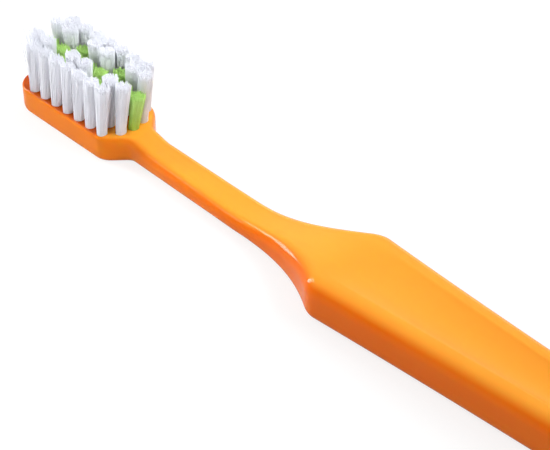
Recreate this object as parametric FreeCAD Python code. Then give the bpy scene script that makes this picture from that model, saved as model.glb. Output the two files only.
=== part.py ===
import FreeCAD, Part
import math
import os

# Manual toothbrush lying on its back, bristles up, in millimetres.
# +X runs from the head's tip to the handle's tail, -Y is the brush's left side and +Z is the bristle side.
# The origin is under the middle of the brush, on the flat back.
# Places along the brush are given as a distance from the head's tip.

# Head, which ends in two rounded lobes and a slanting wall on each side of the neck
total_length = 186.0
head_width = 12.1
head_thickness = 4.9
head_length = 21.4
face_length = 25.4
face_run = 5.0
tip_corner_radius = 4.0
head_top_edge_radius = 0.5
lobe_edge_radius = 1.3
lobe_run = 2.5
lobe_radius = 3.1
lobe_fall_share = 1.0
root_blend = 0.8
head_back_edge_radius = 1.15

# Neck, from the shoulders of the head to the start of the flare
root_length = 5.0
neck_length = 23.9
neck_front_width = 5.4
neck_rear_width = 6.3
neck_front_level = 4.2
neck_rear_level = 3.4
neck_edge_radius = 1.6

# Grip, with a raised rim round a shallow thumb dish
flare_length = 21.8
flare_power = 2.8
shoulder_width = 17.2
shoulder_blend = 1.0
grip_front_level = 6.8
grip_rear_level = 7.3
grip_rise_length = 60.0
grip_top_edge_radius = 2.4
grip_back_edge_radius = 1.4
rim_share = 0.12
dish_depth = 0.9
dish_lead = 2.0
dish_run = 9.0
dish_tail_margin = 9.0
tail_width = 9.0
tail_taper_power = 2.0
tail_corner_radius = 3.6
tail_top_edge_radius = 2.2
tail_back_edge_radius = 1.3

# Share of a section's height or half width that its rounded corners may take
corner_height_share = 0.45
corner_width_share = 0.6

# Bristle field: five columns of tufts, with the first tuft of each at its own distance from the tip
tuft_pitch = 2.88
column_pitch = 2.35
outer_first = 4.5
inner_first = 3.55
centre_first = 4.05
outer_count = 7
inner_count = 8
hole_diameter = 1.85
hole_depth = 3.6
root_clearance = 0.02
splay_share = 1.25
outer_trim = 9.6
inner_trim = 10.0
green_trim = 7.3
tip_lean = -0.4
neck_lean = 1.5
outer_tip_lean = 0.35
outer_neck_lean = 1.1

# Metal plate that holds each folded tuft in its hole and bites into the plastic at both ends
anchor_bite = 0.15
anchor_thickness = 0.3
anchor_height = 1.5
anchor_floor_gap = 0.5

# Columns from the left side: name, pitches from the middle, first tuft, count and the short green tufts
columns = (
    ("outer_left", -2, outer_first, outer_count, ()),
    ("inner_left", -1, inner_first, inner_count, (3, 6)),
    ("centre", 0, centre_first, inner_count, range(1, inner_count + 1)),
    ("inner_right", 1, inner_first, inner_count, (3, 6)),
    ("outer_right", 2, outer_first, outer_count, ()),
)

# Two points closer than this are the same point
touch = 0.001

# Stations at which the sections are drawn, and the degree of the surface through them
loft_degree = 2
tip_steps = 8
root_steps = 8
neck_steps = 8
flare_steps = 12
shoulder_steps = 4
grip_steps = 8
tail_steps = 7

head_half = head_width / 2
neck_front_half = neck_front_width / 2
neck_rear_half = neck_rear_width / 2
shoulder_half = shoulder_width / 2
tail_half = tail_width / 2
neck_start = head_length + root_length
flare_start = neck_start + neck_length
shoulder_place = flare_start + flare_length
dish_start = shoulder_place - dish_lead
dish_end = total_length - dish_tail_margin
tail_start = total_length - tail_corner_radius
hole_radius = hole_diameter / 2
hole_floor = head_thickness - hole_depth


def eased(part):
    """A share from 0 to 1 that starts and ends level."""
    held = min(max(part, 0.0), 1.0)
    return held * held * (3 - 2 * held)


def mix(start, end, part):
    return start + (end - start) * part


def arc_drop(radius, reach):
    """How far a round of this radius falls away at a reach past its start."""
    held = min(max(reach, 0.0), radius)
    return radius - math.sqrt(radius * radius - held * held)


def soft_least(first, second, blend):
    """The smaller of two lengths, rounded off where they are within the blend of each other."""
    near = max(blend - abs(first - second), 0.0) / blend
    return min(first, second) - near * near * blend / 4


def soft_most(first, second, blend):
    """The larger of two lengths, rounded in where they are within the blend of each other."""
    return -soft_least(-first, -second, blend)


def lobe_drop(reach):
    """How far the head's outline comes in past its straight sides: a round, then a slanting wall."""
    turn = lobe_radius * lobe_fall_share / math.hypot(1, lobe_fall_share)
    return arc_drop(lobe_radius, min(reach, turn)) + max(reach - turn, 0.0) * lobe_fall_share


def root_part(place):
    return eased((place - head_length) / root_length)


def face_part(place):
    return eased((place - face_length) / face_run)


def flare_part(place):
    return eased((place - flare_start) / flare_length)


def neck_part(place):
    return min(max((place - neck_start) / neck_length, 0.0), 1.0)


def half_width(place):
    """Half of the brush's width in plan."""
    if place <= head_length:
        return head_half - arc_drop(tip_corner_radius, tip_corner_radius - place)
    if place <= flare_start:
        neck = mix(neck_front_half, neck_rear_half, neck_part(place))
        return soft_most(head_half - lobe_drop(place - head_length), neck, root_blend)
    flare = mix(neck_rear_half, shoulder_half, ((place - flare_start) / flare_length) ** flare_power)
    along = (place - shoulder_place) / (total_length - shoulder_place)
    taper = mix(tail_half, shoulder_half, math.copysign(abs(1 - along) ** tail_taper_power, 1 - along))
    return soft_least(flare, taper, shoulder_blend) - arc_drop(tail_corner_radius, place - tail_start)


def top_level(place):
    neck = mix(neck_front_level, neck_rear_level, neck_part(place))
    grip = mix(grip_front_level, grip_rear_level, eased((place - shoulder_place) / grip_rise_length))
    level = mix(mix(head_thickness, neck, face_part(place)), grip, flare_part(place))
    tip_drop = arc_drop(head_top_edge_radius, head_top_edge_radius - place)
    tail_drop = arc_drop(tail_top_edge_radius, place - (total_length - tail_top_edge_radius))
    return level - tip_drop - tail_drop


def back_level(place):
    tip_rise = arc_drop(head_back_edge_radius, head_back_edge_radius - place)
    tail_rise = arc_drop(tail_back_edge_radius, place - (total_length - tail_back_edge_radius))
    return tip_rise + tail_rise


def face_edge(place):
    """The radius of the edge round the face, which is fuller at the two lobes by the neck."""
    return mix(head_top_edge_radius, lobe_edge_radius, eased((place - head_length) / lobe_run))


def corner_radius(place, head_radius, neck_share, grip_radius):
    """A section's corner radius, kept small enough for the section."""
    wanted = mix(mix(head_radius, neck_edge_radius, neck_share), grip_radius, flare_part(place))
    height = top_level(place) - back_level(place)
    return min(wanted, height * corner_height_share, half_width(place) * corner_width_share)


def dish_at(place):
    return dish_depth * eased((place - dish_start) / dish_run) * eased((dish_end - place) / dish_run)


def corner(x, side, half, level, radius, up):
    """A quarter round at one corner of a section, from its side wall to its top or back."""
    cos_45 = math.sqrt(0.5)
    across = [half, half - radius * (1 - cos_45), half - radius]
    rise = [level - up * radius, level - up * radius * (1 - cos_45), level]
    points = [FreeCAD.Vector(x, side * y, z) for y, z in zip(across, rise)]
    return Part.Arc(*points).toShape()


def section(place):
    """The brush's outline across its length at one place, as a closed wire."""
    x = place - total_length / 2
    half = half_width(place)
    top = top_level(place)
    back = back_level(place)
    top_radius = corner_radius(place, face_edge(place), face_part(place), grip_top_edge_radius)
    back_radius = corner_radius(place, head_back_edge_radius, root_part(place), grip_back_edge_radius)
    flat = half - top_radius
    dish_half = flat * (1 - rim_share)

    def line(y_start, z_start, y_end, z_end):
        ends = FreeCAD.Vector(x, y_start, z_start), FreeCAD.Vector(x, y_end, z_end)
        return Part.LineSegment(*ends).toShape()

    dish = Part.BezierCurve()
    dish_middle = top - 2 * dish_at(place)
    poles = (dish_half, top), (0, dish_middle), (-dish_half, top)
    dish.setPoles([FreeCAD.Vector(x, y, z) for y, z in poles])
    edges = [
        corner(x, 1, half, back, back_radius, -1),
        line(half, back + back_radius, half, top - top_radius),
        corner(x, 1, half, top, top_radius, 1),
        line(flat, top, dish_half, top),
        dish.toShape(),
        line(-dish_half, top, -flat, top),
        corner(x, -1, half, top, top_radius, 1),
        line(-half, top - top_radius, -half, back + back_radius),
        corner(x, -1, half, back, back_radius, -1),
        line(-half + back_radius, back, half - back_radius, back),
    ]
    return Part.Wire(Part.__sortEdges__(edges))


def places(start, end, steps):
    """Evenly spaced places after the start, up to and with the end."""
    return [mix(start, end, step / steps) for step in range(1, steps + 1)]


def round_places(radius, steps):
    """Distances from the end of a round, closest together where it turns fastest."""
    return [radius * (1 - math.cos(math.pi / 2 * step / steps)) for step in range(steps + 1)]


def loft(stations, ruled=False):
    return Part.makeLoft([section(place) for place in stations], True, ruled, False, loft_degree)


def flat_back(solid):
    """The same solid, with the face that lies in the plane of the back made a true plane."""
    plane = Part.Plane(FreeCAD.Vector(), FreeCAD.Vector(0, 0, -1))
    faces = []
    for face in solid.Faces:
        flat = all(abs(vertex.Z) < touch for vertex in face.Vertexes)
        faces.append(Part.Face(plane, [face.OuterWire]) if flat else face)
    return Part.makeSolid(Part.makeShell(faces))


def handle_blank():
    """The moulded handle before its tuft holes: tip, flat head, then neck and grip, then tail."""
    tip = round_places(tip_corner_radius, tip_steps)
    tail = [total_length - gap for gap in round_places(tail_corner_radius, tail_steps)]
    shoulder_end = shoulder_place + dish_run
    middle = [head_length]
    middle += places(head_length, neck_start, root_steps)
    middle += places(neck_start, flare_start, neck_steps)
    middle += places(flare_start, shoulder_place, flare_steps)
    middle += places(shoulder_place, shoulder_end, shoulder_steps)
    middle += places(shoulder_end, dish_end - dish_run, grip_steps)
    middle += places(dish_end - dish_run, tail_start, shoulder_steps)
    head = loft([tip_corner_radius, head_length], True)
    return flat_back(loft(middle)).fuse([loft(tip), head, loft(tail)])


def tuft_spots():
    """Every tuft's column, number from the tip, place, distance across, height above the face and lean."""
    spots = []
    field_length = (inner_count - 1) * tuft_pitch
    for column, pitches, first, count, green in columns:
        outer = column.startswith("outer")
        tall = outer_trim if outer else inner_trim
        first_lean, last_lean = (outer_tip_lean, outer_neck_lean) if outer else (tip_lean, neck_lean)
        for number in range(1, count + 1):
            trim = green_trim if number in green else tall
            place = first + (number - 1) * tuft_pitch
            lean = mix(first_lean, last_lean, (place - inner_first) / field_length)
            spots.append((column, number, place, pitches * column_pitch, trim, lean))
    return spots


def tuft_hole(place, across):
    base = FreeCAD.Vector(place - total_length / 2, across, hole_floor)
    return Part.makeCylinder(hole_radius, hole_depth + head_thickness, base)


def anchor_plate(place, across):
    width = hole_diameter + 2 * anchor_bite
    corner_point = FreeCAD.Vector(
        place - total_length / 2 - width / 2,
        across - anchor_thickness / 2,
        hole_floor + anchor_floor_gap,
    )
    return Part.makeBox(width, anchor_thickness, anchor_height, corner_point)


def tuft(place, across, trim, lean):
    """A bundle of bristles: straight in its hole, then splayed and leaning, and folded round its anchor."""
    x = place - total_length / 2
    root_radius = hole_radius - root_clearance
    rings = [
        (x, hole_floor, root_radius),
        (x, head_thickness, root_radius),
        (x + lean, head_thickness + trim, root_radius * splay_share),
    ]
    wires = []
    for ring_x, level, radius in rings:
        circle = Part.makeCircle(radius, FreeCAD.Vector(ring_x, across, level))
        wires.append(Part.Wire(circle))
    return Part.makeLoft(wires, True, True).cut(anchor_plate(place, across))


def handle(spots):
    cutters = [tuft_hole(place, across) for _, _, place, across, _, _ in spots]
    cutters += [anchor_plate(place, across) for _, _, place, across, _, _ in spots]
    return handle_blank().cut(cutters)


def write(node, shape):
    shape.exportStep("parts/" + node + ".step")


def main():
    os.makedirs("parts", exist_ok=True)
    spots = tuft_spots()
    write("handle", handle(spots))
    for column, number, place, across, trim, lean in spots:
        write("tuft_%s_%d" % (column, number), tuft(place, across, trim, lean))
    for column in columns:
        plates = [anchor_plate(spot[2], spot[3]) for spot in spots if spot[0] == column[0]]
        write("anchors_" + column[0], Part.makeCompound(plates))


main()
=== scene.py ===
import math
from typing import NamedTuple

import bmesh
import bpy
from bpy.props import FloatProperty, FloatVectorProperty, IntProperty, PointerProperty
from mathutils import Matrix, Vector


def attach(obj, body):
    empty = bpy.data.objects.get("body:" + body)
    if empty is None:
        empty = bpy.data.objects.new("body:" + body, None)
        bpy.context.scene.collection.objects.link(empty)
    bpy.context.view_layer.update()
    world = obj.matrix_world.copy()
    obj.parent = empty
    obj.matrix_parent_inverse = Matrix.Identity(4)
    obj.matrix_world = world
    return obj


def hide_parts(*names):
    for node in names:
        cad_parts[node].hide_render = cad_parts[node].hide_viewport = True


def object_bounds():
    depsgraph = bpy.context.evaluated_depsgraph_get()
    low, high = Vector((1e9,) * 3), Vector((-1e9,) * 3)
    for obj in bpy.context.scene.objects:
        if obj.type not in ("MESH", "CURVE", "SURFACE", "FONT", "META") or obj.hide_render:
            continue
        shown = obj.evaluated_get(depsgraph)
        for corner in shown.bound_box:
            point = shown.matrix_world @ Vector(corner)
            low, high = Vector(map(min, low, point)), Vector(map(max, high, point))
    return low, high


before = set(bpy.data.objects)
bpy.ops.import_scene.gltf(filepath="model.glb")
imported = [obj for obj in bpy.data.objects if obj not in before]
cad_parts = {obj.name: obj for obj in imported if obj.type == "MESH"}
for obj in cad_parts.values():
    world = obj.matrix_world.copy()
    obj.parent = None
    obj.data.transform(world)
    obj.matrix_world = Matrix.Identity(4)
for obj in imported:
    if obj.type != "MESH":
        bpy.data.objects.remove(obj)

bl_info = {
    "name": "Manual toothbrush",
    "version": (1, 0, 0),
    "blender": (4, 5, 0),
    "location": "3D View > Sidebar > Toothbrush",
    "description": "Dresses the packed toothbrush: moulded handle, bristle tufts, anchor plates and studio",
    "category": "Object",
}

# The brush lies on its back: +X from the head's tip to the tail, +Z to the bristles, -Y to its left side.
# Places along the brush are distances from the head's tip.
CAD_BOX = [list(corner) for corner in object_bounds()]
BODY = "root"
MILLIMETRE = 0.001
GOLDEN_ANGLE = math.pi * (3 - math.sqrt(5))
SHARP_ANGLE = math.radians(40)
NONE_TO_ALL = (0.0, 1.0)


def length(name, millimetres, description):
    """A length that the user sees in the scene's units."""
    return FloatProperty(
        name=name,
        description=description,
        default=millimetres * MILLIMETRE,
        unit="LENGTH",
        subtype="DISTANCE",
        precision=5,
    )


def share(name, default, description):
    return FloatProperty(name=name, description=description, default=default, subtype="FACTOR")


def power(name, default, description):
    return FloatProperty(name=name, description=description, default=default, min=0.0)


def count(name, default, description):
    return IntProperty(name=name, description=description, default=default, min=1)


def colour(name, default, description):
    return FloatVectorProperty(
        name=name,
        description=description,
        default=default,
        size=3,
        min=0.0,
        max=1.0,
        subtype="COLOR",
    )


class ToothbrushHandleSizes(bpy.types.PropertyGroup):
    """Sizes of the one-piece handle, the same as in the solid model."""

    total_length: length("Total length", 186.0, "From the head's tip to the tail")
    head_width: length("Head width", 12.1, "Width of the head in plan")
    head_thickness: length("Head thickness", 4.9, "From the flat back to the face that holds the tufts")
    head_length: length("Head length", 21.4, "From the tip to where the head narrows into the neck")
    face_length: length("Face length", 25.4, "From the tip to where the face slopes down to the neck")
    face_run: length("Face run", 5.0, "Length of the slope from the face down to the neck")
    tip_corner: length("Tip corner", 4.0, "Plan radius of the head's front corners")
    head_top_edge: length("Head top edge", 0.5, "Radius of the edge round the face")
    lobe_edge: length("Lobe edge", 1.3, "Radius of the edge round the two lobes by the neck")
    lobe_run: length("Lobe run", 2.5, "Length over which the edge gains that radius")
    lobe_radius: length("Lobe radius", 3.1, "Plan radius of the two lobes by the neck")
    lobe_fall_share: share("Lobe fall share", 1.0, "Inward fall of the wall past the lobes, over its run")
    root_blend: length("Root blend", 0.8, "Rounding in plan where the wall meets the neck")
    head_back_edge: length("Head back edge", 1.15, "Radius of the edge round the head's back")
    root_length: length("Neck root", 5.0, "Length over which the head narrows into the neck")
    neck_length: length("Neck length", 23.9, "Length of the slim neck")
    neck_front_width: length("Neck front width", 5.4, "Width of the neck at the head")
    neck_rear_width: length("Neck rear width", 6.3, "Width of the neck at the flare")
    neck_front_level: length("Neck front level", 4.2, "Height of the neck at the head")
    neck_rear_level: length("Neck rear level", 3.4, "Height of the neck at the flare")
    neck_edge: length("Neck edge", 1.6, "Radius of the neck's edges")
    flare_length: length("Flare length", 21.8, "Length over which the neck opens into the grip")
    flare_power: power("Flare power", 2.8, "How late the flare opens")
    shoulder_width: length("Shoulder width", 17.2, "Width of the grip at its shoulders")
    shoulder_blend: length("Shoulder blend", 1.0, "Rounding of the shoulders in plan")
    grip_front_level: length("Grip front level", 6.8, "Height of the grip at its shoulders")
    grip_rear_level: length("Grip rear level", 7.3, "Height of the grip towards the tail")
    grip_rise_length: length("Grip rise", 60.0, "Length over which the grip gains height")
    grip_top_edge: length("Grip top edge", 2.4, "Radius of the grip's upper edges")
    grip_back_edge: length("Grip back edge", 1.4, "Radius of the grip's lower edges")
    rim_share: share("Rim share", 0.12, "Share of the grip's flat top that stays as a rim round the dish")
    dish_depth: length("Dish depth", 0.9, "Depth of the thumb dish")
    dish_lead: length("Dish lead", 2.0, "How far the dish starts before the shoulders")
    dish_run: length("Dish run", 9.0, "Length over which the dish gains its depth")
    dish_tail_margin: length("Dish tail margin", 9.0, "From the end of the dish to the tail")
    tail_width: length("Tail width", 9.0, "Width of the grip at its tail")
    tail_taper_power: power("Tail taper power", 2.0, "How early the grip narrows")
    tail_corner: length("Tail corner", 3.6, "Plan radius of the tail's corners")
    tail_top_edge: length("Tail top edge", 2.2, "Radius of the tail's upper edge")
    tail_back_edge: length("Tail back edge", 1.3, "Radius of the tail's lower edge")
    corner_height_share: share("Corner height share", 0.45, "Most of the height that a corner may take")
    corner_width_share: share("Corner width share", 0.6, "Most of the half width that a corner may take")


class ToothbrushTuftSizes(bpy.types.PropertyGroup):
    """Sizes of the bristle field and of its filaments."""

    tuft_pitch: length("Tuft pitch", 2.88, "Distance between the tufts of a column")
    column_pitch: length("Column pitch", 2.35, "Distance between the columns")
    outer_first: length("Outer first", 4.5, "From the tip to the first tuft of the outer columns")
    inner_first: length("Inner first", 3.55, "From the tip to the first tuft of the inner columns")
    centre_first: length("Centre first", 4.05, "From the tip to the first tuft of the middle column")
    outer_count: count("Outer count", 7, "Tufts in each outer column")
    inner_count: count("Inner count", 8, "Tufts in each other column")
    hole_diameter: length("Hole diameter", 1.85, "Diameter of the tuft holes")
    hole_depth: length("Hole depth", 3.6, "Depth of the tuft holes")
    root_clearance: length("Root clearance", 0.02, "Room between a tuft and its hole")
    outer_trim: length("Outer trim", 9.6, "Height of the outer tufts above the face")
    inner_trim: length("Inner trim", 10.0, "Height of the tall inner tufts above the face")
    green_trim: length("Green trim", 7.3, "Height of the green tufts above the face")
    tip_lean: length("Tip lean", -0.4, "Lean of the tufts at the head's tip")
    neck_lean: length("Neck lean", 1.5, "Lean of the tufts at the neck")
    outer_neck_lean: length("Outer neck lean", 1.1, "Lean of the outer columns at the neck")
    left_tip_lean: length("Left tip lean", 1.1, "Lean of the outer left column at the head's tip")
    splay_share: share("Splay share", 1.75, "Spread of a tuft's tips along its column, over its root")
    side_splay_share: share("Side splay share", 1.45, "Spread of a tuft's tips across the columns")
    filament_diameter: length("Filament diameter", 0.14, "Diameter of one bristle")
    filament_count: count("Filaments", 150, "Bristles in each tuft")
    core_share: share("Core share", 0.86, "Girth of a tuft's packed middle, over its bundle")
    core_drop: length("Core drop", 0.85, "How far the packed middle stays below the tips")
    uneven_share: share("Uneven share", 0.045, "Share of a bristle's length that the trim may miss")
    stray: length("Stray", 0.35, "Furthest that a loose bristle's tip wanders")
    loose_stray: length("Loose stray", 1.8, "Furthest that a tip wanders in the worn first tufts")
    anchor_bite: length("Anchor bite", 0.15, "How far a plate's ends press into the plastic")
    anchor_thickness: length("Anchor thickness", 0.3, "Thickness of the metal plate in each tuft")
    anchor_height: length("Anchor height", 1.5, "Height of the metal plate")
    anchor_floor_gap: length("Anchor floor gap", 0.5, "Room for the folded bristles under the plate")


class ToothbrushFinishes(bpy.types.PropertyGroup):
    """Colours of the brush."""

    # Painted light and shade: the top orange is a lit copy and the side orange a shaded copy of one plastic.
    lit_handle_top: colour("Handle top", (0.97, 0.36, 0.032), "Orange of the plastic where it faces up")
    shaded_handle_side: colour("Handle side", (0.88, 0.164, 0.004), "Deeper orange of the plastic's sides")
    # Painted light: the head's sides are lighter, as if lit by a lamp near the head, fading towards the grip.
    lit_head_side: colour("Head side", (0.85, 0.209, 0.008), "Lighter orange of the thin head's sides")
    # Painted shade: the face between the tufts is a darker orange, as if in the tufts' shadow.
    shaded_head_face: colour("Head face", (0.50, 0.07, 0.002), "Deep orange of the face between the tufts")
    flow_share: share("Flow share", 0.10, "How far the flow marks shift the orange")
    white_tip: colour("White tip", (0.93, 0.945, 1.0), "White bristles at their tips")
    # Painted shade: the root colours are darker copies of the tip colours, shading the bristles towards the
    # head.
    shaded_white_root: colour("White root", (0.90, 0.90, 0.96), "White bristles at their roots")
    green_tip: colour("Green tip", (0.62, 0.90, 0.30), "Green bristles at their tips")
    shaded_green_root: colour("Green root", (0.45, 0.76, 0.11), "Green bristles at their roots")
    brass: colour("Brass", (0.80, 0.60, 0.28), "Metal of the anchor plates")
    brass_dull: colour("Dull brass", (0.58, 0.42, 0.19), "Darker drag marks on the anchor plates")


class NodeBench:
    """A node tree with short calls that add nodes and join them."""

    def __init__(self, tree):
        self.tree = tree

    def add(self, kind, *values, named=None, **settings):
        """Adds a node and feeds its inputs, in order or by name, with sockets or plain values."""
        node = self.tree.nodes.new(kind)
        for key, setting in settings.items():
            setattr(node, key, setting)
        sockets = [socket for socket in node.inputs if not socket.is_unavailable]
        for socket, value in zip(sockets, values):
            self.feed(socket, value)
        for name, value in (named or {}).items():
            self.feed(next(socket for socket in sockets if socket.name == name), value)
        return node

    def feed(self, socket, value):
        if isinstance(value, bpy.types.NodeSocket):
            self.tree.links.new(value, socket)
        elif value is not None:
            socket.default_value = value

    def out(self, node, name=None):
        """A node's first usable output, or the one with this name."""
        ready = [socket for socket in node.outputs if not socket.is_unavailable]
        return ready[0] if name is None else next(socket for socket in ready if socket.name == name)

    def made(self, kind, *values, **settings):
        """Adds a node and returns its first output."""
        return self.out(self.add(kind, *values, **settings))

    def math(self, operation, *values):
        return self.made("ShaderNodeMath", *values, operation=operation)

    def mix(self, part, start, end):
        return self.made("ShaderNodeMix", part, start, end, data_type="FLOAT")

    def held(self, value):
        return self.made("ShaderNodeClamp", value)

    def vector(self, x, y, z):
        return self.made("ShaderNodeCombineXYZ", x, y, z)

    def axes(self, vector):
        return self.add("ShaderNodeSeparateXYZ", vector).outputs

    def random(self, low, high, seed):
        return self.made("FunctionNodeRandomValue", named={"Min": low, "Max": high, "Seed": seed})

    def stored(self, geometry, name, value, kind="FLOAT"):
        """A geometry whose points hold this value under a name."""
        return self.made("GeometryNodeStoreNamedAttribute", geometry, None, name, value, data_type=kind)

    def recalled(self, name, kind="FLOAT"):
        """The value that was stored under a name."""
        return self.made("GeometryNodeInputNamedAttribute", name, data_type=kind)

    def dressed(self, geometry, material):
        """Ends a geometry tree with real meshes in one material."""
        real = self.made("GeometryNodeRealizeInstances", geometry)
        self.add("NodeGroupOutput", self.made("GeometryNodeSetMaterial", real, named={"Material": material}))


def new_tree(name, inputs):
    """An empty geometry tree with these named inputs, as (name, socket type) pairs."""
    tree = bpy.data.node_groups.new(name, "GeometryNodeTree")
    tree.interface.new_socket("Geometry", in_out="INPUT", socket_type="NodeSocketGeometry")
    for label, kind in inputs:
        tree.interface.new_socket(label, in_out="INPUT", socket_type=kind)
    tree.interface.new_socket("Geometry", in_out="OUTPUT", socket_type="NodeSocketGeometry")
    bench = NodeBench(tree)
    given = bench.add("NodeGroupInput").outputs
    return bench, given


def grown_mesh(name, mesh, tree, values):
    """Runs a geometry tree on a mesh and returns what it makes as a plain mesh."""
    carrier = bpy.data.objects.new(name + "_carrier", mesh)
    bpy.context.scene.collection.objects.link(carrier)
    modifier = carrier.modifiers.new(name, "NODES")
    modifier.node_group = tree
    for item in tree.interface.items_tree:
        if item.in_out == "INPUT" and item.name in values:
            modifier[item.identifier] = values[item.name]
    carrier.update_tag()
    depsgraph = bpy.context.evaluated_depsgraph_get()
    grown = bpy.data.meshes.new_from_object(carrier.evaluated_get(depsgraph))
    grown.name = name
    carrier.modifiers.remove(modifier)
    bpy.data.objects.remove(carrier)
    return grown


def place_piece(name, mesh, nodes):
    """Puts a finished mesh in the scene as a piece that stands for these nodes of the frame."""
    piece = bpy.data.objects.new(name, mesh)
    bpy.context.scene.collection.objects.link(piece)
    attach(piece, BODY)
    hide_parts(*nodes)


# Shape of the handle

def eased(part):
    """A share from 0 to 1 that starts and ends level."""
    held = min(max(part, 0.0), 1.0)
    return held * held * (3 - 2 * held)


def mix(start, end, part):
    return start + (end - start) * part


def arc_drop(radius, reach):
    """How far a round of this radius falls away at a reach past its start."""
    held = min(max(reach, 0.0), radius)
    return radius - math.sqrt(radius * radius - held * held)


def soft_least(first, second, blend):
    """The smaller of two lengths, rounded off where they are within the blend of each other."""
    near = max(blend - abs(first - second), 0.0) / blend
    return min(first, second) - near * near * blend / 4


def soft_most(first, second, blend):
    """The larger of two lengths, rounded in where they are within the blend of each other."""
    return -soft_least(-first, -second, blend)


class HandleShape:
    """The handle's sections, worked out from its sizes."""

    tip_steps = 14
    head_steps = 10
    root_steps = 28
    neck_steps = 20
    flare_steps = 48
    shoulder_steps = 40
    grip_steps = 60
    tail_steps = 16
    back_points = 6
    corner_points = 8
    side_points = 4
    rim_points = 3
    dish_points = 14

    def __init__(self, sizes):
        self.sizes = sizes
        self.neck_start = sizes.head_length + sizes.root_length
        self.flare_start = self.neck_start + sizes.neck_length
        self.shoulder = self.flare_start + sizes.flare_length
        self.dish_start = self.shoulder - sizes.dish_lead
        self.dish_end = sizes.total_length - sizes.dish_tail_margin

    def root_part(self, place):
        return eased((place - self.sizes.head_length) / self.sizes.root_length)

    def face_part(self, place):
        return eased((place - self.sizes.face_length) / self.sizes.face_run)

    def flare_part(self, place):
        return eased((place - self.flare_start) / self.sizes.flare_length)

    def neck_part(self, place):
        return min(max((place - self.neck_start) / self.sizes.neck_length, 0.0), 1.0)

    def lobe_drop(self, reach):
        """How far the head's outline comes in past its straight sides: a round, then a slanting wall."""
        s = self.sizes
        turn = s.lobe_radius * s.lobe_fall_share / math.hypot(1, s.lobe_fall_share)
        return arc_drop(s.lobe_radius, min(reach, turn)) + max(reach - turn, 0.0) * s.lobe_fall_share

    def half_width(self, place):
        s = self.sizes
        if place <= s.head_length:
            return s.head_width / 2 - arc_drop(s.tip_corner, s.tip_corner - place)
        if place <= self.flare_start:
            neck = mix(s.neck_front_width, s.neck_rear_width, self.neck_part(place)) / 2
            return soft_most(s.head_width / 2 - self.lobe_drop(place - s.head_length), neck, s.root_blend)
        opened = ((place - self.flare_start) / s.flare_length) ** s.flare_power
        flare = mix(s.neck_rear_width, s.shoulder_width, opened) / 2
        left = 1 - (place - self.shoulder) / (s.total_length - self.shoulder)
        kept = math.copysign(abs(left) ** s.tail_taper_power, left)
        taper = mix(s.tail_width, s.shoulder_width, kept) / 2
        tail_start = s.total_length - s.tail_corner
        return soft_least(flare, taper, s.shoulder_blend) - arc_drop(s.tail_corner, place - tail_start)

    def top_level(self, place):
        s = self.sizes
        neck = mix(s.neck_front_level, s.neck_rear_level, self.neck_part(place))
        rise = eased((place - self.shoulder) / s.grip_rise_length)
        grip = mix(s.grip_front_level, s.grip_rear_level, rise)
        front = mix(s.head_thickness, neck, self.face_part(place))
        tip_drop = arc_drop(s.head_top_edge, s.head_top_edge - place)
        tail_drop = arc_drop(s.tail_top_edge, place - (s.total_length - s.tail_top_edge))
        return mix(front, grip, self.flare_part(place)) - tip_drop - tail_drop

    def back_level(self, place):
        s = self.sizes
        tip_rise = arc_drop(s.head_back_edge, s.head_back_edge - place)
        return tip_rise + arc_drop(s.tail_back_edge, place - (s.total_length - s.tail_back_edge))

    def face_edge(self, place):
        s = self.sizes
        return mix(s.head_top_edge, s.lobe_edge, eased((place - s.head_length) / s.lobe_run))

    def corner_radius(self, place, head_radius, neck_share, grip_radius):
        s = self.sizes
        wanted = mix(mix(head_radius, s.neck_edge, neck_share), grip_radius, self.flare_part(place))
        height = self.top_level(place) - self.back_level(place)
        most_across = self.half_width(place) * s.corner_width_share
        return min(wanted, height * s.corner_height_share, most_across)

    def dish_at(self, place):
        s = self.sizes
        front = eased((place - self.dish_start) / s.dish_run)
        return s.dish_depth * front * eased((self.dish_end - place) / s.dish_run)

    def half_profile(self, place):
        """Points of the right half of a section, from the middle of the back to the middle of the top."""
        s = self.sizes
        half = self.half_width(place)
        top = self.top_level(place)
        back = self.back_level(place)
        top_radius = self.corner_radius(place, self.face_edge(place), self.face_part(place), s.grip_top_edge)
        back_radius = self.corner_radius(place, s.head_back_edge, self.root_part(place), s.grip_back_edge)
        flat = half - top_radius
        dish_half = flat * (1 - s.rim_share)
        low, high = back + back_radius, top - top_radius
        points = []
        for step in range(self.back_points):
            points.append((mix(0, half - back_radius, step / self.back_points), back))
        for step in range(self.corner_points):
            turn = math.pi / 2 * step / self.corner_points
            points.append((half - back_radius * (1 - math.sin(turn)), low - back_radius * math.cos(turn)))
        for step in range(self.side_points):
            points.append((half, mix(low, high, step / self.side_points)))
        for step in range(self.corner_points):
            turn = math.pi / 2 * step / self.corner_points
            points.append((half - top_radius * (1 - math.cos(turn)), high + top_radius * math.sin(turn)))
        for step in range(self.rim_points):
            points.append((mix(flat, dish_half, step / self.rim_points), top))
        for step in range(self.dish_points + 1):
            across = 1 - step / self.dish_points
            points.append((dish_half * across, top - self.dish_at(place) * (1 - across * across)))
        return points

    def ring(self, place):
        """A whole section: its right half, then the left half mirrored without the two middle points."""
        right = self.half_profile(place)
        left = [(-across, level) for across, level in reversed(right[1:-1])]
        x = place - self.sizes.total_length / 2
        return [(x, across, level) for across, level in right + left]

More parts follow.
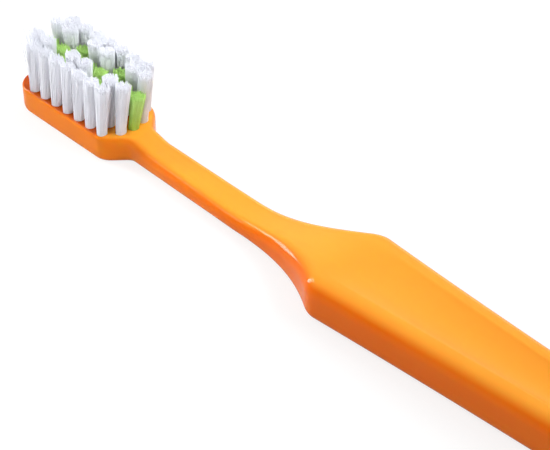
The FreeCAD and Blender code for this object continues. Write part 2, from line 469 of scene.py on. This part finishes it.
    def stations(self):
        s = self.sizes
        end = s.total_length
        stops = [
            (s.tip_corner, s.head_length, self.head_steps),
            (s.head_length, self.neck_start + s.root_length, self.root_steps),
            (self.neck_start + s.root_length, self.flare_start, self.neck_steps),
            (self.flare_start, self.dish_start, self.flare_steps),
            (self.dish_start, self.shoulder + s.dish_run, self.shoulder_steps),
            (self.shoulder + s.dish_run, end - s.tail_corner, self.grip_steps),
        ]
        places = [self.round_place(s.tip_corner, step, self.tip_steps) for step in range(self.tip_steps)]
        for start, stop, steps in stops:
            places += [mix(start, stop, step / steps) for step in range(steps)]
        for step in range(self.tail_steps, -1, -1):
            places.append(end - self.round_place(s.tail_corner, step, self.tail_steps))
        return places

    def round_place(self, radius, step, steps):
        """A distance from the end of a round, closest together where it turns fastest."""
        return radius * (1 - math.cos(math.pi / 2 * step / steps))


def handle_blank(sizes):
    """The handle before its tuft holes: a skin through all the sections, closed at both ends."""
    shape = HandleShape(sizes)
    shell = bmesh.new()
    rings = [[shell.verts.new(point) for point in shape.ring(place)] for place in shape.stations()]
    size = len(rings[0])
    for front, rear in zip(rings, rings[1:]):
        for index in range(size):
            after = (index + 1) % size
            shell.faces.new((front[index], front[after], rear[after], rear[index]))
    for ring in (rings[0], rings[-1]):
        cap_ring(shell, ring)
    bmesh.ops.recalc_face_normals(shell, faces=shell.faces)
    mesh = bpy.data.meshes.new("handle_blank")
    shell.to_mesh(mesh)
    shell.free()
    return mesh


def cap_ring(shell, ring):
    """Closes a mirrored ring with strips across its two halves."""
    half = len(ring) // 2
    for index in range(half):
        corners = [ring[index], ring[index + 1], ring[-index - 1], ring[-index]]
        kept = list(dict.fromkeys(corners))
        shell.faces.new(kept)


def tuft_hole_tree():
    """Cuts a blind hole, with the slots of its anchor plate, at every spot of the spots object."""
    bench, given = new_tree("tuft_holes", (
        ("Spots", "NodeSocketObject"),
        ("Hole radius", "NodeSocketFloat"),
        ("Hole depth", "NodeSocketFloat"),
        ("Overrun", "NodeSocketFloat"),
        ("Plate", "NodeSocketVector"),
        ("Plate level", "NodeSocketFloat"),
        ("Material", "NodeSocketMaterial"),
    ))
    hole_sides = 28
    spots = bench.out(bench.add("GeometryNodeObjectInfo", given["Spots"]), "Geometry")
    depth = bench.math("ADD", given["Hole depth"], given["Overrun"])
    drill = bench.made("GeometryNodeMeshCylinder", hole_sides, 1, 1, given["Hole radius"], depth)
    drop = bench.math("SUBTRACT", bench.math("DIVIDE", depth, 2), given["Hole depth"])
    plate = bench.made("GeometryNodeMeshCube", given["Plate"])
    cut = bench.add("GeometryNodeMeshBoolean", given["Geometry"], operation="DIFFERENCE", solver="EXACT")
    for tool, level in ((drill, drop), (plate, given["Plate level"])):
        seated = bench.made("GeometryNodeTransform", tool, named={"Translation": bench.vector(0, 0, level)})
        tools = bench.made("GeometryNodeInstanceOnPoints", spots, named={"Instance": seated})
        real = bench.made("GeometryNodeRealizeInstances", tools)
        bench.tree.links.new(real, cut.inputs["Mesh 2"])
    bench.dressed(bench.out(cut), given["Material"])
    return bench.tree


# Tufts

class TuftSpot(NamedTuple):
    """A tuft's column, its number from the tip, where it stands, its height above the face and its colour."""

    column: str
    number: int
    place: float
    across: float
    trim: float
    is_green: bool


def tuft_spots(sizes):
    """The spots of all the tufts, column by column."""
    greens = (3, 6)
    all_green = tuple(range(1, sizes.inner_count + 1))
    columns = (
        ("outer_left", -2, sizes.outer_first, sizes.outer_count, sizes.outer_trim, ()),
        ("inner_left", -1, sizes.inner_first, sizes.inner_count, sizes.inner_trim, greens),
        ("centre", 0, sizes.centre_first, sizes.inner_count, sizes.inner_trim, all_green),
        ("inner_right", 1, sizes.inner_first, sizes.inner_count, sizes.inner_trim, greens),
        ("outer_right", 2, sizes.outer_first, sizes.outer_count, sizes.outer_trim, ()),
    )
    spots = []
    for column, pitches, first, number_of_tufts, tall, green in columns:
        for number in range(1, number_of_tufts + 1):
            is_green = number in green
            trim = sizes.green_trim if is_green else tall
            place = first + (number - 1) * sizes.tuft_pitch
            across = pitches * sizes.column_pitch
            spots.append(TuftSpot(column, number, place, across, trim, is_green))
    return spots


def spread_at(bench, given, rise, top):
    """How much of its spread and lean a bristle has at this height above its root."""
    free = bench.math("SUBTRACT", rise, given["Hole depth"])
    return bench.held(bench.math("DIVIDE", free, bench.math("SUBTRACT", top, given["Hole depth"])))


def set_round_root(bench, given, geometry, x, y, rise):
    """Moves a geometry's points to these distances from the tuft's root."""
    place = bench.made("ShaderNodeVectorMath", bench.vector(x, y, rise), given["Root"], operation="ADD")
    return bench.made("GeometryNodeSetPosition", geometry, None, place)


def filament_points(bench, given):
    """One point for each filament, which holds its root, its tip and its tone."""
    half_step = 0.5
    least_scatter_share = 0.93
    stray_power = 5
    trim_power = 2

    # Every random draw of a tuft has its own seed
    turn_seed = bench.math("ADD", given["Seed"], 101)
    stray_seed = bench.math("ADD", given["Seed"], 202)
    trim_seed = bench.math("ADD", given["Seed"], 303)
    tone_seed = bench.math("ADD", given["Seed"], 404)

    # Roots fill the hole as seeds fill a sunflower, with a little scatter
    index = bench.made("GeometryNodeInputIndex")
    filled = bench.math("DIVIDE", bench.math("ADD", index, half_step), given["Filaments"])
    scatter = bench.random(least_scatter_share, 1.0, given["Seed"])
    away = bench.math("MULTIPLY", bench.math("SQRT", filled), scatter)
    away = bench.math("MULTIPLY", away, given["Bundle radius"])
    turn = bench.math("ADD", bench.math("MULTIPLY", index, GOLDEN_ANGLE), given["Seed"])
    root_x = bench.math("MULTIPLY", away, bench.math("COSINE", turn))
    root_y = bench.math("MULTIPLY", away, bench.math("SINE", turn))

    # Tips spread, lean and wander, and the trim misses some of them
    wander_turn = bench.random(0.0, 2 * math.pi, turn_seed)
    wander = bench.math("POWER", bench.random(0.0, 1.0, stray_seed), stray_power)
    wander = bench.math("MULTIPLY", wander, given["Stray"])
    tip_x = bench.math("MULTIPLY_ADD", root_x, given["Splay"], given["Lean"])
    tip_x = bench.math("MULTIPLY_ADD", wander, bench.math("COSINE", wander_turn), tip_x)
    tip_y = bench.math("MULTIPLY", root_y, given["Side splay"])
    tip_y = bench.math("MULTIPLY_ADD", wander, bench.math("SINE", wander_turn), tip_y)
    missed = bench.math("POWER", bench.random(0.0, 1.0, trim_seed), trim_power)
    missed = bench.math("MULTIPLY", missed, given["Uneven"])
    reach = bench.math("MULTIPLY", given["Reach"], bench.math("SUBTRACT", 1.0, missed))

    points = bench.made("GeometryNodePoints", given["Filaments"])
    points = bench.stored(points, "root", bench.vector(root_x, root_y, 0), "FLOAT_VECTOR")
    points = bench.stored(points, "tip", bench.vector(tip_x, tip_y, reach), "FLOAT_VECTOR")
    return bench.stored(points, "tone", bench.random(0.0, 1.0, tone_seed))


def filament_tubes(bench, given):
    """Thin tubes from the roots to the rounded tips of all the filaments."""
    body_steps = 6
    cap_steps = 2
    steps = body_steps + cap_steps
    tube_sides = 5
    tip_round_share = 0.92
    fold_power = 2

    # Each filament is one line: its body in even steps, then the steps of its rounded tip
    points = filament_points(bench, given)
    line = bench.made("GeometryNodeCurvePrimitiveLine", (0, 0, 0), (0, 0, 1))
    line = bench.made("GeometryNodeResampleCurve", line, None, steps + 1)
    lines = bench.made("GeometryNodeInstanceOnPoints", points, named={"Instance": line})
    lines = bench.made("GeometryNodeRealizeInstances", lines)
    root = bench.axes(bench.recalled("root", "FLOAT_VECTOR"))
    tip = bench.axes(bench.recalled("tip", "FLOAT_VECTOR"))
    along = bench.math("MULTIPLY", bench.out(bench.add("GeometryNodeSplineParameter"), "Factor"), steps)
    body = bench.math("MINIMUM", bench.math("DIVIDE", along, body_steps), 1.0)
    cap = bench.math("MAXIMUM", bench.math("SUBTRACT", along, body_steps), 0.0)
    cap = bench.math("MULTIPLY", cap, math.pi / 2 * tip_round_share / cap_steps)
    rise = bench.math("MULTIPLY", body, bench.math("SUBTRACT", tip["Z"], given["Filament radius"]))
    rise = bench.math("MULTIPLY_ADD", bench.math("SINE", cap), given["Filament radius"], rise)
    girth = bench.math("MULTIPLY", bench.math("COSINE", cap), given["Filament radius"])
    lines = bench.stored(lines, "girth", girth)

    # In the hole the halves part round the plate; above the face they spread
    in_hole = bench.held(bench.math("DIVIDE", rise, given["Hole depth"]))
    parted = bench.math("SUBTRACT", 1.0, bench.math("POWER", in_hole, fold_power))
    parted = bench.math("MULTIPLY", parted, given["Fold gap"])
    spread = spread_at(bench, given, rise, tip["Z"])
    x = bench.mix(spread, root["X"], tip["X"])
    y = bench.mix(spread, root["Y"], tip["Y"])
    squeeze = bench.math("SUBTRACT", 1.0, bench.math("DIVIDE", parted, given["Bundle radius"]))
    y = bench.math("MULTIPLY", y, squeeze)
    y = bench.math("MULTIPLY_ADD", bench.math("SIGN", root["Y"]), parted, y)
    lines = set_round_root(bench, given, lines, x, y, rise)

    profile = bench.made("GeometryNodeCurvePrimitiveCircle", tube_sides, named={"Radius": 1.0})
    tubes = bench.made("GeometryNodeCurveToMesh", lines, profile, bench.recalled("girth"), True)
    return bench.made("GeometryNodeSetShadeSmooth", tubes)


def packed_core(bench, given):
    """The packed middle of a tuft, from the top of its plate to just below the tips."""
    core_sides = 20
    core_steps = 8
    core_tone = 0.5
    depth = bench.math("SUBTRACT", given["Reach"], given["Core drop"])
    depth = bench.math("SUBTRACT", depth, given["Core start"])
    core = bench.add("GeometryNodeMeshCylinder", core_sides, core_steps, 1, given["Core radius"], depth)
    barrel = bench.made("GeometryNodeSetShadeSmooth", bench.out(core, "Mesh"), bench.out(core, "Side"))
    barrel = bench.stored(barrel, "tone", core_tone)
    here = bench.axes(bench.made("GeometryNodeInputPosition"))
    rise = bench.math("ADD", bench.math("DIVIDE", depth, 2), here["Z"])
    rise = bench.math("ADD", rise, given["Core start"])
    spread = spread_at(bench, given, rise, given["Reach"])
    x = bench.math("MULTIPLY", here["X"], bench.mix(spread, 1.0, given["Splay"]))
    x = bench.math("MULTIPLY_ADD", spread, given["Lean"], x)
    y = bench.math("MULTIPLY", here["Y"], bench.mix(spread, 1.0, given["Side splay"]))
    return set_round_root(bench, given, barrel, x, y, rise)


def tuft_tree():
    """Grows one tuft: splayed and leaning filaments round a packed middle."""
    bench, given = new_tree("bristle_tuft", (
        ("Filaments", "NodeSocketInt"),
        ("Root", "NodeSocketVector"),
        ("Bundle radius", "NodeSocketFloat"),
        ("Filament radius", "NodeSocketFloat"),
        ("Fold gap", "NodeSocketFloat"),
        ("Hole depth", "NodeSocketFloat"),
        ("Reach", "NodeSocketFloat"),
        ("Lean", "NodeSocketFloat"),
        ("Splay", "NodeSocketFloat"),
        ("Side splay", "NodeSocketFloat"),
        ("Uneven", "NodeSocketFloat"),
        ("Stray", "NodeSocketFloat"),
        ("Core radius", "NodeSocketFloat"),
        ("Core start", "NodeSocketFloat"),
        ("Core drop", "NodeSocketFloat"),
        ("Seed", "NodeSocketInt"),
        ("Material", "NodeSocketMaterial"),
    ))
    tuft = bench.add("GeometryNodeJoinGeometry")
    for bristles in (packed_core(bench, given), filament_tubes(bench, given)):
        bench.tree.links.new(bristles, tuft.inputs["Geometry"])
    bench.dressed(bench.out(tuft), given["Material"])
    return bench.tree


# Materials

def new_material(name):
    """A material with its shader and the surface's own coordinates."""
    material = bpy.data.materials.new(name)
    material.use_nodes = True
    bench = NodeBench(material.node_tree)
    shader = material.node_tree.nodes["Principled BSDF"]
    coordinates = bench.out(bench.add("ShaderNodeTexCoord"), "Object")
    return material, bench, shader, coordinates


def grain(bench, coordinates, spots, detail):
    """Noise with so many spots to the metre along each axis."""
    mapped = bench.made("ShaderNodeMapping", coordinates, named={"Scale": spots})
    return bench.made("ShaderNodeTexNoise", named={"Vector": mapped, "Scale": 1.0, "Detail": detail})


def colour_between(bench, part, first, second):
    mixed = bench.add("ShaderNodeMix", data_type="RGBA")
    bench.feed(mixed.inputs["Factor"], part)
    ends = [socket for socket in mixed.inputs if socket.type == "RGBA"]
    for socket, value in zip(ends, (first, second)):
        bench.feed(socket, value if isinstance(value, bpy.types.NodeSocket) else (*value, 1.0))
    return next(socket for socket in mixed.outputs if socket.type == "RGBA")


def ranged(bench, value, span, results, course="LINEAR"):
    """Maps a span of a value to a span of results."""
    return bench.made("ShaderNodeMapRange", value, *span, *results, interpolation_type=course)


def set_shader(bench, shader, inputs):
    """Links or sets the shader's inputs by name."""
    for name, value in inputs.items():
        bench.feed(shader.inputs[name], value)


def handle_material(finishes, sizes, last_tuft):
    """Glossy moulding with painted light and shade: a lit orange where it faces up, a shaded orange on its
    sides, painted light on the head's sides, painted shade on the face between the tufts, and faint flow
    marks.
    """
    facing_up = (0.5, 1.0)
    face_lead = 0.8 * MILLIMETRE
    face_run = 1.2 * MILLIMETRE
    head_light_fade = 35 * MILLIMETRE
    flow_spots = (18, 140, 140)
    flow_detail = 3.0
    flow_span = (0.35, 0.65)
    polish_spots = (420, 420, 420)
    polish_detail = 4.0
    polish_span = (0.3, 0.7)
    polish_roughness = (0.09, 0.14)
    skin_spots = (2600, 2600, 2600)
    skin_detail = 2.0

    material, bench, shader, coordinates = new_material("handle_plastic")
    # Painted light and shade: the colour turns from the shaded side orange to the lit top orange as the
    # surface faces up.
    facing = bench.axes(bench.out(bench.add("ShaderNodeTexCoord"), "Normal"))
    lit = ranged(bench, facing["Z"], facing_up, NONE_TO_ALL, "SMOOTHSTEP")
    along = bench.axes(coordinates)["X"]
    # Painted shade on the face between the tufts, ending just past the last tuft.
    shaded_end = last_tuft - sizes.total_length / 2
    out_of_tuft_shade = ranged(bench, along, (shaded_end - face_lead, shaded_end + face_run), NONE_TO_ALL)
    # Painted light on the walls, fading from the head towards the grip.
    past_head_light = ranged(bench, along, (shaded_end, shaded_end + head_light_fade), NONE_TO_ALL)
    flow = grain(bench, coordinates, flow_spots, flow_detail)
    drift = ranged(bench, flow, flow_span, (-finishes.flow_share, finishes.flow_share))
    part = bench.held(bench.math("ADD", lit, drift))
    wall = colour_between(bench, past_head_light, finishes.lit_head_side, finishes.shaded_handle_side)
    top = colour_between(bench, out_of_tuft_shade, finishes.shaded_head_face, finishes.lit_handle_top)
    polish = grain(bench, coordinates, polish_spots, polish_detail)
    skin = grain(bench, coordinates, skin_spots, skin_detail)
    set_shader(bench, shader, {
        "Base Color": colour_between(bench, part, wall, top),
        "Roughness": ranged(bench, polish, polish_span, polish_roughness),
        "Normal": bench.made("ShaderNodeBump", named={"Strength": 0.04, "Distance": 0.00002, "Height": skin}),
        "IOR": 1.49,
        "Specular IOR Level": 0.17,
        "Specular Tint": (1.0, 0.86, 0.78, 1.0),
        "Subsurface Weight": 0.25,
        "Subsurface Radius": (1.0, 0.2, 0.06),
        "Subsurface Scale": 0.002,
    })
    return material


def bristle_material(name, tip_colour, shaded_root_colour, head_thickness, trim):
    """Fine nylon: each filament has its own tone, and painted shade makes all of them deeper towards the
    head.
    """
    tone_shift = (-0.25, 0.25)
    tone_roughness = (0.32, 0.46)
    material, bench, shader, coordinates = new_material(name)
    level = bench.axes(coordinates)["Z"]
    # Painted shade: the colour goes from the darker root copy to the tip colour with height above the face.
    free = ranged(bench, level, (head_thickness, head_thickness + trim), NONE_TO_ALL)
    tone = bench.out(bench.add("ShaderNodeAttribute", attribute_name="tone"), "Fac")
    part = bench.held(bench.math("ADD", free, ranged(bench, tone, NONE_TO_ALL, tone_shift)))
    set_shader(bench, shader, {
        "Base Color": colour_between(bench, part, shaded_root_colour, tip_colour),
        "Roughness": ranged(bench, tone, NONE_TO_ALL, tone_roughness),
        "IOR": 1.53,
    })
    return material


def brass_material(finishes):
    """Stamped brass strip with drag marks along the plates."""
    drag_spots = (900, 900, 9000)
    drag_detail = 3.0
    drag_span = (0.3, 0.7)
    drag_roughness = (0.25, 0.42)
    material, bench, shader, coordinates = new_material("anchor_brass")
    drag = grain(bench, coordinates, drag_spots, drag_detail)
    set_shader(bench, shader, {
        "Base Color": colour_between(bench, drag, finishes.brass, finishes.brass_dull),
        "Roughness": ranged(bench, drag, drag_span, drag_roughness),
        "Metallic": 1.0,
    })
    return material


def floor_material():
    """Pale floor: white to the camera and through glass, half so in mirrors, with the shadow kept."""
    matte_grey = (0.42, 0.42, 0.42, 1.0)
    shadow_grey = (0.24, 0.24, 0.24, 1.0)
    white = (1.0, 1.0, 1.0, 1.0)
    glow_strength = 0.78
    mirrored_share = 0.5
    material = bpy.data.materials.new("pale_floor")
    material.use_nodes = True
    bench = NodeBench(material.node_tree)
    material.node_tree.nodes.clear()
    rays = bench.add("ShaderNodeLightPath").outputs
    seen = bench.math("MAXIMUM", rays["Is Camera Ray"], rays["Is Transmission Ray"])
    seen = bench.math("MAXIMUM", seen, bench.math("MULTIPLY", rays["Is Glossy Ray"], mirrored_share))
    matte = bench.made("ShaderNodeBsdfDiffuse", matte_grey)
    shadowed = bench.made("ShaderNodeBsdfDiffuse", shadow_grey)
    glow = bench.made("ShaderNodeEmission", white, glow_strength)
    lit = bench.made("ShaderNodeAddShader", shadowed, glow)
    bench.add("ShaderNodeOutputMaterial", bench.made("ShaderNodeMixShader", seen, matte, lit))
    return material


# Operators

class TOOTHBRUSH_OT_handle(bpy.types.Operator):
    """Build the one-piece handle with its tuft holes"""

    bl_idname = "toothbrush.handle"
    bl_label = "Handle"

    def execute(self, context):
        sizes = context.scene.toothbrush_handle
        tufts = context.scene.toothbrush_tufts
        middle = sizes.total_length / 2
        last_tuft = tufts.outer_first + (tufts.outer_count - 1) * tufts.tuft_pitch
        marks = bpy.data.meshes.new("tuft_spots")
        mouths = [(spot.place - middle, spot.across, sizes.head_thickness) for spot in tuft_spots(tufts)]
        marks.from_pydata(mouths, [], [])
        spots = bpy.data.objects.new("tuft_spots", marks)
        plate_width = tufts.hole_diameter + 2 * tufts.anchor_bite
        plate_level = tufts.anchor_floor_gap + tufts.anchor_height / 2 - tufts.hole_depth
        mesh = grown_mesh("moulded_handle", handle_blank(sizes), tuft_hole_tree(), {
            "Spots": spots,
            "Hole radius": tufts.hole_diameter / 2,
            "Hole depth": tufts.hole_depth,
            "Overrun": sizes.head_thickness,
            "Plate": (plate_width, tufts.anchor_thickness, tufts.anchor_height),
            "Plate level": plate_level,
            "Material": handle_material(context.scene.toothbrush_finishes, sizes, last_tuft),
        })
        bpy.data.objects.remove(spots)
        mesh.shade_smooth()
        mesh.set_sharp_from_angle(angle=SHARP_ANGLE)
        place_piece("moulded_handle", mesh, ["handle"])
        return {"FINISHED"}


class TOOTHBRUSH_OT_tufts(bpy.types.Operator):
    """Grow every tuft of white and green bristles"""

    bl_idname = "toothbrush.tufts"
    bl_label = "Bristle tufts"

    def execute(self, context):
        handle = context.scene.toothbrush_handle
        sizes = context.scene.toothbrush_tufts
        finishes = context.scene.toothbrush_finishes
        white = bristle_material("bristle_white", finishes.white_tip, finishes.shaded_white_root,
                                 handle.head_thickness, sizes.inner_trim)
        green = bristle_material("bristle_green", finishes.green_tip, finishes.shaded_green_root,
                                 handle.head_thickness, sizes.green_trim)
        tree = tuft_tree()
        filament = sizes.filament_diameter / 2
        bundle = sizes.hole_diameter / 2 - sizes.root_clearance - filament
        field = (sizes.inner_count - 1) * sizes.tuft_pitch
        root_level = handle.head_thickness - sizes.hole_depth
        for seed, spot in enumerate(tuft_spots(sizes), start=1):
            label = "%s_%d" % (spot.column, spot.number)
            tip_lean = sizes.left_tip_lean if spot.column == "outer_left" else sizes.tip_lean
            neck_lean = sizes.outer_neck_lean if spot.column.startswith("outer") else sizes.neck_lean
            worn = spot.number == 1 and spot.column.endswith("left")
            mesh = grown_mesh("bristles_" + label, bpy.data.meshes.new("seed"), tree, {
                "Filaments": sizes.filament_count,
                "Root": (spot.place - handle.total_length / 2, spot.across, root_level),
                "Bundle radius": bundle,
                "Filament radius": filament,
                "Fold gap": sizes.anchor_thickness / 2 + filament,
                "Hole depth": sizes.hole_depth,
                "Reach": sizes.hole_depth + spot.trim,
                "Lean": mix(tip_lean, neck_lean, (spot.place - sizes.inner_first) / field),
                "Splay": sizes.splay_share,
                "Side splay": sizes.side_splay_share,
                "Uneven": sizes.uneven_share,
                "Stray": sizes.loose_stray if worn else sizes.stray,
                "Core radius": bundle * sizes.core_share,
                "Core start": sizes.anchor_floor_gap + sizes.anchor_height,
                "Core drop": sizes.core_drop,
                "Seed": seed,
                "Material": green if spot.is_green else white,
            })
            for name in ("root", "tip", "girth"):
                mesh.attributes.remove(mesh.attributes[name])
            place_piece(mesh.name, mesh, ["tuft_" + label])
        return {"FINISHED"}


class TOOTHBRUSH_OT_anchors(bpy.types.Operator):
    """Finish the metal plates that hold the tufts"""

    bl_idname = "toothbrush.anchors"
    bl_label = "Anchor plates"

    def execute(self, context):
        brass = brass_material(context.scene.toothbrush_finishes)
        for name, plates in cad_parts.items():
            if name.startswith("anchors_"):
                for slot in plates.material_slots:
                    slot.link = "OBJECT"
                    slot.material = brass
        return {"FINISHED"}


# Studio, in metres, watts and degrees

class Lamp(NamedTuple):
    """A rectangular lamp that shines at a target, and only shows in reflections if it is mirrored."""

    name: str
    place: tuple
    target: tuple
    width: float
    height: float
    watts: float
    beam: float = 180
    mirrored: bool = False


MIDDLE = (-0.03, 0.0, 0.004)
HEAD = (-0.078, 0.0, 0.006)
HEAD_END = (-0.068, 0.0, 0.006)
LAMPS = (
    Lamp("back_softbox", (0.15, 0.52, 0.42), MIDDLE, width=0.5, height=0.4, watts=2.6),
    Lamp("front_fill", (-0.15, -0.25, 0.04), HEAD, width=0.2, height=0.1, watts=0.21),
    Lamp("head_spot", (0.045, -0.15, 0.11), HEAD, width=0.03, height=0.03, watts=0.0019, beam=20),
    Lamp("neck_spot", (0.06, 0.06, 0.14), HEAD_END, width=0.06, height=0.06, watts=0.010, beam=45),
    Lamp("tall_strip", (-0.478, -0.155, 0.20), MIDDLE, width=0.08, height=0.38, watts=1.6, mirrored=True),
    Lamp("camera_fill", (0.12, -0.34, 0.36), MIDDLE, width=0.25, height=0.25, watts=0.17),
    Lamp("shoulder_glint", (-0.339, -0.315, 0.241), MIDDLE, width=0.045, height=0.045, watts=0.11,
         mirrored=True),
)


def hang_lamp(lamp):
    light = bpy.data.lights.new(lamp.name, "AREA")
    light.shape = "RECTANGLE"
    light.size = lamp.width
    light.size_y = lamp.height
    light.energy = lamp.watts
    light.spread = math.radians(lamp.beam)
    holder = bpy.data.objects.new(lamp.name, light)
    bpy.context.scene.collection.objects.link(holder)
    holder.location = lamp.place
    holder.visible_camera = False
    holder.visible_glossy = lamp.mirrored
    aim = Vector(lamp.target) - holder.location
    holder.rotation_euler = aim.to_track_quat("-Z", "Y").to_euler()


def set_camera(scene):
    """Stands the camera where the photo was taken from."""
    place = (0.10633, -0.13956, 0.16871)
    tilt = 50.38
    turn = 45.57
    near_end = 0.01
    sensor_millimetres = 36.0
    lens_millimetres = 111.27
    camera = bpy.data.cameras.new("photo_camera")
    camera.sensor_width = sensor_millimetres
    camera.lens = lens_millimetres
    camera.clip_start = near_end
    viewer = bpy.data.objects.new("photo_camera", camera)
    scene.collection.objects.link(viewer)
    viewer.location = place
    viewer.rotation_euler = (math.radians(tilt), 0.0, math.radians(turn))
    scene.camera = viewer


def set_air(scene):
    """Fills the studio with soft light that is brighter behind the brush."""
    bright_side = (-0.35, 0.85, 0.39)
    side_span = (-0.7, 0.9)
    strengths = (0.13, 0.75)
    white = (1.0, 1.0, 1.0, 1.0)
    world = bpy.data.worlds.new("studio_air")
    world.use_nodes = True
    bench = NodeBench(world.node_tree)
    outward = bench.out(bench.add("ShaderNodeTexCoord"), "Generated")
    behind = bench.add("ShaderNodeVectorMath", outward, bright_side, operation="DOT_PRODUCT")
    set_shader(bench, world.node_tree.nodes["Background"], {
        "Color": white,
        "Strength": ranged(bench, bench.out(behind, "Value"), side_span, strengths, "SMOOTHSTEP"),
    })
    scene.world = world


def lay_floor(scene):
    """Lays a wide floor just below the brush."""
    reach = 6.0
    drop = 0.02 * MILLIMETRE
    level = CAD_BOX[0][2] - drop
    corner_signs = ((-1, -1), (1, -1), (1, 1), (-1, 1))
    sheet = bpy.data.meshes.new("floor")
    sheet.from_pydata([(x * reach, y * reach, level) for x, y in corner_signs], [], [(0, 1, 2, 3)])
    sheet.materials.append(floor_material())
    floor = bpy.data.objects.new("floor", sheet)
    scene.collection.objects.link(floor)


class TOOTHBRUSH_OT_stage(bpy.types.Operator):
    """Set the camera, the lamps and the pale floor"""

    bl_idname = "toothbrush.stage"
    bl_label = "Studio"

    def execute(self, context):
        context.scene.view_settings.view_transform = "Standard"
        set_camera(context.scene)
        for lamp in LAMPS:
            hang_lamp(lamp)
        set_air(context.scene)
        lay_floor(context.scene)
        return {"FINISHED"}


class TOOTHBRUSH_PT_panel(bpy.types.Panel):
    """Lists the steps that dress the toothbrush"""

    bl_idname = "TOOTHBRUSH_PT_panel"
    bl_label = "Toothbrush"
    bl_space_type = "VIEW_3D"
    bl_region_type = "UI"
    bl_category = "Toothbrush"

    def draw(self, context):
        for step in STEPS:
            self.layout.operator(step.bl_idname)
        for group in SETTINGS:
            box = self.layout.box()
            box.label(text=group.removeprefix("toothbrush_"))
            settings = getattr(context.scene, group)
            for name in type(settings).__annotations__:
                box.prop(settings, name)


STEPS = (TOOTHBRUSH_OT_handle, TOOTHBRUSH_OT_tufts, TOOTHBRUSH_OT_anchors, TOOTHBRUSH_OT_stage)
SETTINGS = {
    "toothbrush_handle": ToothbrushHandleSizes,
    "toothbrush_tufts": ToothbrushTuftSizes,
    "toothbrush_finishes": ToothbrushFinishes,
}
CLASSES = (*SETTINGS.values(), *STEPS, TOOTHBRUSH_PT_panel)


def register():
    for each in CLASSES:
        bpy.utils.register_class(each)
    for group, settings in SETTINGS.items():
        setattr(bpy.types.Scene, group, PointerProperty(type=settings))


def unregister():
    for group in SETTINGS:
        delattr(bpy.types.Scene, group)
    for each in reversed(CLASSES):
        bpy.utils.unregister_class(each)


def main():
    register()
    bpy.ops.toothbrush.handle()
    bpy.ops.toothbrush.tufts()
    bpy.ops.toothbrush.anchors()
    bpy.ops.toothbrush.stage()


if __name__ == "__main__":
    main()
